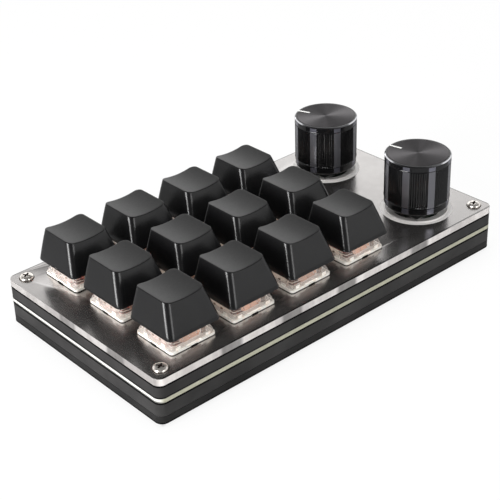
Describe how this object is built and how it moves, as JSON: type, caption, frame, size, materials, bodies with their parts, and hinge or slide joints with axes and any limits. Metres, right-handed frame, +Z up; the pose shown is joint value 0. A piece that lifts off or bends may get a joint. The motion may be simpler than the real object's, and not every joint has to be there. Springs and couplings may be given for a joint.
{
  "type": "mini keyboard",
  "caption": "Mini keyboard: a grid of sprung keycaps on clear switches beside push-and-turn knobs, on a screwed case of stacked layers.",
  "frame": {"origin": "on the desk under the middle of the case, at the feet's undersides", "axes": "+X to the right towards the knobs along the long edge, +Y to the back edge with the cable inlet, +Z up"},
  "size_m": [0.135, 0.072, 0.0353],
  "materials": {
    "black_base": "fine satin black plastic sheet",
    "black_frame": "fine satin black plastic, saw-cut edge",
    "board": "bare glass-fibre board edge, black solder mask on both faces",
    "clear_plate": "clear acrylic, satin on top, polished edge",
    "nickel": "nickel-plated steel",
    "rubber_black": "soft black rubber",
    "epoxy": "moulded black epoxy",
    "shell_steel": "drawn steel shell",
    "clear_base": "clear moulded plastic",
    "clear_hood": "clear moulded plastic",
    "copper": "copper alloy sheet",
    "encoder_plastic": "moulded plastic",
    "encoder_metal": "zinc and plated steel",
    "tinned": "tinned pins",
    "plunger_plastic": "natural plastic",
    "shaft_metal": "turned aluminium",
    "knob_black": "gloss black anodised aluminium, bright cut edges",
    "disc_metal": "dark anodised disc, fine turned rings",
    "keycap_black": "fine satin black plastic",
    "stem_red": "red moulded plastic",
    "spring_wire": "drawn spring wire"
  },
  "bodies": {
    "case": {"base_plate": "black_base", "lower_frame": "black_frame", "circuit_board": "board", "upper_frame": "black_frame", "top_plate": "clear_plate", "case_screws": "nickel", "case_nuts": "nickel", "rubber_feet": "rubber_black", "board_parts": "epoxy", "usb_socket": "shell_steel", "switch_bases": "clear_base", "switch_hoods": "clear_hood", "switch_contacts": "copper", "encoder_housings": "encoder_plastic", "encoder_bushes": "encoder_metal", "encoder_pins": "tinned", "spring_r1c1": "spring_wire", "spring_r1c2": "spring_wire", "spring_r1c3": "spring_wire", "spring_r1c4": "spring_wire", "spring_r2c1": "spring_wire", "spring_r2c2": "spring_wire", "spring_r2c3": "spring_wire", "spring_r2c4": "spring_wire", "spring_r3c1": "spring_wire", "spring_r3c2": "spring_wire", "spring_r3c3": "spring_wire", "spring_r3c4": "spring_wire"},
    "key_r1c1": {"keycap_r1c1": "keycap_black", "stem_r1c1": "stem_red"},
    "key_r1c2": {"keycap_r1c2": "keycap_black", "stem_r1c2": "stem_red"},
    "key_r1c3": {"keycap_r1c3": "keycap_black", "stem_r1c3": "stem_red"},
    "key_r1c4": {"keycap_r1c4": "keycap_black", "stem_r1c4": "stem_red"},
    "key_r2c1": {"keycap_r2c1": "keycap_black", "stem_r2c1": "stem_red"},
    "key_r2c2": {"keycap_r2c2": "keycap_black", "stem_r2c2": "stem_red"},
    "key_r2c3": {"keycap_r2c3": "keycap_black", "stem_r2c3": "stem_red"},
    "key_r2c4": {"keycap_r2c4": "keycap_black", "stem_r2c4": "stem_red"},
    "key_r3c1": {"keycap_r3c1": "keycap_black", "stem_r3c1": "stem_red"},
    "key_r3c2": {"keycap_r3c2": "keycap_black", "stem_r3c2": "stem_red"},
    "key_r3c3": {"keycap_r3c3": "keycap_black", "stem_r3c3": "stem_red"},
    "key_r3c4": {"keycap_r3c4": "keycap_black", "stem_r3c4": "stem_red"},
    "push_1": {"plunger_1": "plunger_plastic"},
    "knob_turn_1": {"shaft_1": "shaft_metal", "knob_1": "knob_black", "knob_disc_1": "disc_metal"},
    "push_2": {"plunger_2": "plunger_plastic"},
    "knob_turn_2": {"shaft_2": "shaft_metal", "knob_2": "knob_black", "knob_disc_2": "disc_metal"}
  },
  "joints": [
    {"name": "press_r1c1", "type": "slide", "parent": "case", "child": "key_r1c1", "axis": [0, 0, -1], "range_m": [0, 0.004], "stiffness_N_per_m": 75, "springref_m": -0.004, "deforming": ["spring_r1c1"]},
    {"name": "press_r1c2", "type": "slide", "parent": "case", "child": "key_r1c2", "axis": [0, 0, -1], "range_m": [0, 0.004], "stiffness_N_per_m": 75, "springref_m": -0.004, "deforming": ["spring_r1c2"]},
    {"name": "press_r1c3", "type": "slide", "parent": "case", "child": "key_r1c3", "axis": [0, 0, -1], "range_m": [0, 0.004], "stiffness_N_per_m": 75, "springref_m": -0.004, "deforming": ["spring_r1c3"]},
    {"name": "press_r1c4", "type": "slide", "parent": "case", "child": "key_r1c4", "axis": [0, 0, -1], "range_m": [0, 0.004], "stiffness_N_per_m": 75, "springref_m": -0.004, "deforming": ["spring_r1c4"]},
    {"name": "press_r2c1", "type": "slide", "parent": "case", "child": "key_r2c1", "axis": [0, 0, -1], "range_m": [0, 0.004], "stiffness_N_per_m": 75, "springref_m": -0.004, "deforming": ["spring_r2c1"]},
    {"name": "press_r2c2", "type": "slide", "parent": "case", "child": "key_r2c2", "axis": [0, 0, -1], "range_m": [0, 0.004], "stiffness_N_per_m": 75, "springref_m": -0.004, "deforming": ["spring_r2c2"]},
    {"name": "press_r2c3", "type": "slide", "parent": "case", "child": "key_r2c3", "axis": [0, 0, -1], "range_m": [0, 0.004], "stiffness_N_per_m": 75, "springref_m": -0.004, "deforming": ["spring_r2c3"]},
    {"name": "press_r2c4", "type": "slide", "parent": "case", "child": "key_r2c4", "axis": [0, 0, -1], "range_m": [0, 0.004], "stiffness_N_per_m": 75, "springref_m": -0.004, "deforming": ["spring_r2c4"]},
    {"name": "press_r3c1", "type": "slide", "parent": "case", "child": "key_r3c1", "axis": [0, 0, -1], "range_m": [0, 0.004], "stiffness_N_per_m": 75, "springref_m": -0.004, "deforming": ["spring_r3c1"]},
    {"name": "press_r3c2", "type": "slide", "parent": "case", "child": "key_r3c2", "axis": [0, 0, -1], "range_m": [0, 0.004], "stiffness_N_per_m": 75, "springref_m": -0.004, "deforming": ["spring_r3c2"]},
    {"name": "press_r3c3", "type": "slide", "parent": "case", "child": "key_r3c3", "axis": [0, 0, -1], "range_m": [0, 0.004], "stiffness_N_per_m": 75, "springref_m": -0.004, "deforming": ["spring_r3c3"]},
    {"name": "press_r3c4", "type": "slide", "parent": "case", "child": "key_r3c4", "axis": [0, 0, -1], "range_m": [0, 0.004], "stiffness_N_per_m": 75, "springref_m": -0.004, "deforming": ["spring_r3c4"]},
    {"name": "knob_push_1", "type": "slide", "parent": "case", "child": "push_1", "axis": [0, 0, -1], "range_m": [0, 0.0005], "stiffness_N_per_m": 6000, "springref_m": -0.00033},
    {"name": "knob_spin_1", "type": "hinge", "parent": "push_1", "child": "knob_turn_1", "pos_m": [0.0495, -0.02, 0.0264], "axis": [0, 0, 1], "continuous": true},
    {"name": "knob_push_2", "type": "slide", "parent": "case", "child": "push_2", "axis": [0, 0, -1], "range_m": [0, 0.0005], "stiffness_N_per_m": 6000, "springref_m": -0.00033},
    {"name": "knob_spin_2", "type": "hinge", "parent": "push_2", "child": "knob_turn_2", "pos_m": [0.0495, 0.02, 0.0264], "axis": [0, 0, 1], "continuous": true}
  ]
}
